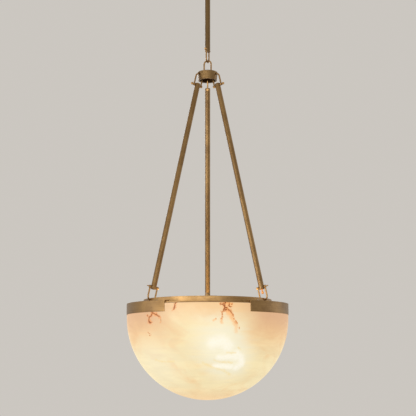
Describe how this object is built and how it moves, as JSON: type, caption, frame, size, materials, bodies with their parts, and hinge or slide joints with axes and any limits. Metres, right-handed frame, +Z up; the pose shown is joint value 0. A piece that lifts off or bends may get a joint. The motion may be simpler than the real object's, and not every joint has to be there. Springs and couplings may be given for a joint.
{
  "type": "alabaster bowl pendant",
  "caption": "Hanging ceiling light: a lit stone bowl in a brass ring, carried by leaning rods from a hub, linked by shackles to a stem and a swivelling ceiling canopy.",
  "frame": {"origin": "centre of the two screw holes of the ceiling strap, in the plane of the ceiling", "axes": "+Z up out of the ceiling, along the stem; +X along the strap, to the right in the picture; +Y away from the camera, through the back rod"},
  "size_m": [0.508, 0.507, 1.4551],
  "materials": {
    "aged_brass": "satin",
    "rubbed_brass": "satin",
    "alabaster": "satin",
    "zinc_steel": "satin",
    "porcelain": "gloss",
    "bulb_cap_metal": "satin",
    "frosted_glass": "satin",
    "gasket_rubber": "matte",
    "bushing_plastic": "matte",
    "lead_bushing_amber": "satin"
  },
  "bodies": {
    "ceiling": {"ceiling_strap": "zinc_steel", "ceiling_nipple": "zinc_steel", "nipple_nuts": "zinc_steel", "canopy": "aged_brass", "canopy_collar": "aged_brass"},
    "swivel": {"swivel_yoke": "aged_brass", "swivel_pin": "rubbed_brass"},
    "stem": {"swivel_tongue": "aged_brass", "stem_tube": "aged_brass", "stem_plug": "aged_brass"},
    "link": {"stem_shackle": "aged_brass", "stem_pin": "rubbed_brass"},
    "hub": {"hub_bow": "aged_brass", "hub_cup": "aged_brass"},
    "hanger_back": {"upper_shackle_back": "aged_brass", "upper_pin_back": "rubbed_brass"},
    "arm_back": {"rod_back": "aged_brass", "rod_plugs_back": "aged_brass", "lower_shackle_back": "aged_brass", "lower_pin_back": "rubbed_brass"},
    "hanger_right": {"upper_shackle_right": "aged_brass", "upper_pin_right": "rubbed_brass"},
    "arm_right": {"rod_right": "aged_brass", "rod_plugs_right": "aged_brass", "lower_shackle_right": "aged_brass", "lower_pin_right": "rubbed_brass", "lead_bushing": "lead_bushing_amber"},
    "hanger_left": {"upper_shackle_left": "aged_brass", "upper_pin_left": "rubbed_brass"},
    "arm_left": {"rod_left": "aged_brass", "rod_plugs_left": "aged_brass", "lower_shackle_left": "aged_brass", "lower_pin_left": "rubbed_brass"},
    "bowl_ring": {"hoop": "aged_brass", "rim_plate": "aged_brass", "rim_clip_back": "aged_brass", "rim_clip_right": "aged_brass", "rim_clip_left": "aged_brass", "clip_screws": "zinc_steel", "rim_gasket": "gasket_rubber", "bowl": "alabaster", "bowl_screws": "zinc_steel", "bowl_washers": "zinc_steel", "lamp_spider": "aged_brass", "spider_screws": "zinc_steel", "wiring_cover": "aged_brass", "lead_inlet": "bushing_plastic", "cover_stud": "zinc_steel", "cover_finial": "aged_brass", "holder_nuts": "zinc_steel", "lampholder_back": "porcelain", "bulb_cap_back": "bulb_cap_metal", "bulb_glass_back": "frosted_glass", "lampholder_right": "porcelain", "bulb_cap_right": "bulb_cap_metal", "bulb_glass_right": "frosted_glass", "lampholder_left": "porcelain", "bulb_cap_left": "bulb_cap_metal", "bulb_glass_left": "frosted_glass"}
  },
  "joints": [
    {"name": "swivel_turn", "type": "hinge", "parent": "ceiling", "child": "swivel", "pos_m": [0, 0, -0.0343], "axis": [0, 0, 1], "range_deg": [-170, 170]},
    {"name": "swivel_tilt", "type": "hinge", "parent": "swivel", "child": "stem", "pos_m": [0, 0, -0.0621], "axis": [0, 1, 0], "range_deg": [-30, 30]},
    {"name": "stem_shackle_swing", "type": "hinge", "parent": "stem", "child": "link", "pos_m": [0, 0, -0.3291], "axis": [-0.342, -0.9397, 0], "range_deg": [-30, 30]},
    {"name": "hub_swing", "type": "hinge", "parent": "link", "child": "hub", "pos_m": [0, 0, -0.3648], "axis": [0.9397, -0.342, 0], "range_deg": [-20, 20]},
    {"name": "bowl_sway", "type": "hinge", "parent": "hub", "child": "bowl_ring", "pos_m": [0, 0, -0.28896], "axis": [0.7071, 0.7071, 0], "range_deg": [-2.5, 2.5]},
    {"name": "hanger_back_swing", "type": "hinge", "parent": "hub", "child": "hanger_back", "pos_m": [0, 0.02926, -0.4152], "axis": [-1, 0, 0], "range_deg": [-3.5, 3.5]},
    {"name": "rod_back_swing", "type": "hinge", "parent": "hanger_back", "child": "arm_back", "pos_m": [0, 0.03795, -0.45271], "axis": [0, 0.9742, 0.2258], "range_deg": [-3.5, 3.5]},
    {"name": "hanger_right_swing", "type": "hinge", "parent": "hub", "child": "hanger_right", "pos_m": [0.02534, -0.01463, -0.4152], "axis": [0.5, 0.866, 0], "range_deg": [-3.5, 3.5]},
    {"name": "rod_right_swing", "type": "hinge", "parent": "hanger_right", "child": "arm_right", "pos_m": [0.03287, -0.01898, -0.45271], "axis": [0.8437, -0.4871, 0.2258], "range_deg": [-3.5, 3.5]},
    {"name": "hanger_left_swing", "type": "hinge", "parent": "hub", "child": "hanger_left", "pos_m": [-0.02534, -0.01463, -0.4152], "axis": [0.5, -0.866, 0], "range_deg": [-3.5, 3.5]},
    {"name": "rod_left_swing", "type": "hinge", "parent": "hanger_left", "child": "arm_left", "pos_m": [-0.03287, -0.01898, -0.45271], "axis": [-0.8437, -0.4871, 0.2258], "range_deg": [-3.5, 3.5]}
  ],
  "couplings": [
    {"joint": "hanger_back_swing", "follows": "bowl_sway", "ratio": -0.82864},
    {"joint": "rod_back_swing", "follows": "bowl_sway", "ratio": 0.85067},
    {"joint": "hanger_right_swing", "follows": "bowl_sway", "ratio": 1.1319},
    {"joint": "rod_right_swing", "follows": "bowl_sway", "ratio": 0.31137},
    {"joint": "hanger_left_swing", "follows": "bowl_sway", "ratio": -0.3033},
    {"joint": "rod_left_swing", "follows": "bowl_sway", "ratio": -1.162}
  ]
}
